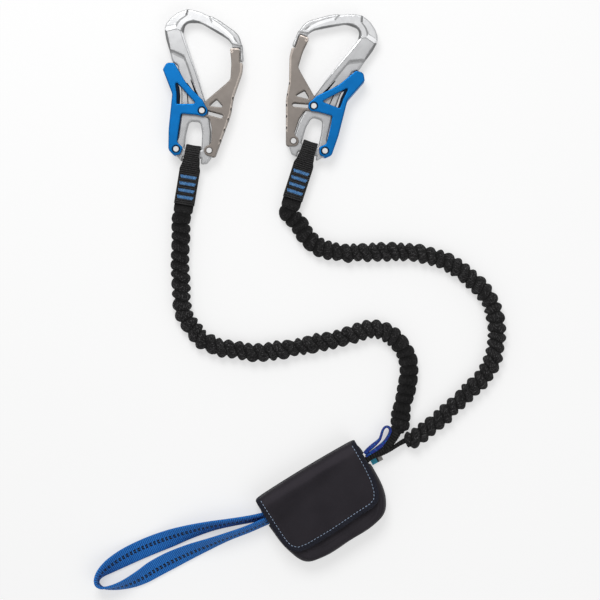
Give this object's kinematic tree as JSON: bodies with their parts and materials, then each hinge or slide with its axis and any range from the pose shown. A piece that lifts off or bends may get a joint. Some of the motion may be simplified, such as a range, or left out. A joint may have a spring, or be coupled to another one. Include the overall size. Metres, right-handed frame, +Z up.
{
  "type": "via ferrata lanyard",
  "caption": "Via ferrata lanyard: two palm-lever carabiners on gathered elastic arms, a pouch with folded tear webbing, a long webbing tie-in loop and a short rest loop.",
  "frame": {"origin": "middle of the footprint of everything but the elastic arms, on the floor the lanyard lies on", "axes": "+Y from the pouch to the carabiners, +Z up from the floor, +X to the right seen from above with the carabiners at the top"},
  "size_m": [0.3822, 0.5418, 0.0243],
  "materials": {
    "satin_aluminium": "satin",
    "gate_metal": "satin grey-brown anodised",
    "lever_blue": "blue anodised",
    "pin_steel": "riveted",
    "spring_steel": "drawn wire",
    "black_webbing": "woven",
    "gathered_cover": "gathered woven tube",
    "rubber_core": "natural latex",
    "pouch_fabric": "coated woven",
    "touch_tape": "touch fastener",
    "tear_fabric": "woven, folded",
    "blue_webbing": "ribbed weave with a stitched centre line",
    "royal_webbing": "woven",
    "tag_label": "plain label"
  },
  "bodies": {
    "lanyard": {"pouch_body": "pouch_fabric", "pouch_loop_strip": "touch_tape", "tear_webbing": "tear_fabric", "tie_in_loop": "blue_webbing", "rest_loop": "royal_webbing", "neck_block": "black_webbing", "inspection_tag": "tag_label", "arm_strap_left": "black_webbing", "arm_strap_right": "black_webbing", "elastic_arm_left": "gathered_cover", "elastic_arm_right": "gathered_cover", "elastic_core_left": "rubber_core", "elastic_core_right": "rubber_core", "webbing_eye_left": "black_webbing", "webbing_eye_right": "black_webbing"},
    "flap": {"pouch_flap": "pouch_fabric", "flap_hook_strip": "touch_tape"},
    "carabiner_left": {"carabiner_body_left": "satin_aluminium", "gate_rivet_left": "pin_steel", "lever_rivet_left": "pin_steel", "lever_spring_left": "spring_steel"},
    "carabiner_right": {"carabiner_body_right": "satin_aluminium", "gate_rivet_right": "pin_steel", "lever_rivet_right": "pin_steel", "lever_spring_right": "spring_steel"},
    "gate_left": {"gate_left": "gate_metal"},
    "gate_right": {"gate_right": "gate_metal"},
    "lever_left": {"palm_lever_left": "lever_blue", "cam_pin_left": "pin_steel"},
    "lever_right": {"palm_lever_right": "lever_blue", "cam_pin_right": "pin_steel"}
  },
  "joints": [
    {"name": "flap_fold", "type": "hinge", "parent": "lanyard", "child": "flap", "pos_m": [0.05215, -0.15801, 0.0065], "axis": [-0.8563, -0.5165, 0], "range_deg": [0, 110]},
    {"name": "carabiner_left_swing", "type": "hinge", "parent": "lanyard", "child": "carabiner_left", "pos_m": [-0.0538, 0.1362, 0.008], "axis": [0.9952, -0.0976, 0], "range_deg": [-90, 90]},
    {"name": "carabiner_right_swing", "type": "hinge", "parent": "lanyard", "child": "carabiner_right", "pos_m": [0.0541, 0.1398, 0.008], "axis": [0.9681, -0.2504, 0], "range_deg": [-90, 90]},
    {"name": "gate_left_open", "type": "hinge", "parent": "carabiner_left", "child": "gate_left", "pos_m": [-0.03805, 0.13866, 0.008], "axis": [0, 0, 1], "range_deg": [0, 22], "stiffness_Nm_per_rad": 1.2},
    {"name": "gate_right_open", "type": "hinge", "parent": "carabiner_right", "child": "gate_right", "pos_m": [0.04016, 0.14753, 0.008], "axis": [0, 0, -1], "range_deg": [0, 22], "stiffness_Nm_per_rad": 1.2},
    {"name": "lever_left_squeeze", "type": "hinge", "parent": "carabiner_left", "child": "lever_left", "pos_m": [-0.06867, 0.13993, 0.008], "axis": [0, 0, -1], "range_deg": [0, 7.05]},
    {"name": "lever_right_squeeze", "type": "hinge", "parent": "carabiner_right", "child": "lever_right", "pos_m": [0.06934, 0.13819, 0.008], "axis": [0, 0, 1], "range_deg": [0, 7.05]}
  ],
  "couplings": [
    {"joint": "lever_left_squeeze", "follows": "gate_left_open", "ratio": 0.31818},
    {"joint": "lever_right_squeeze", "follows": "gate_right_open", "ratio": 0.31818}
  ]
}
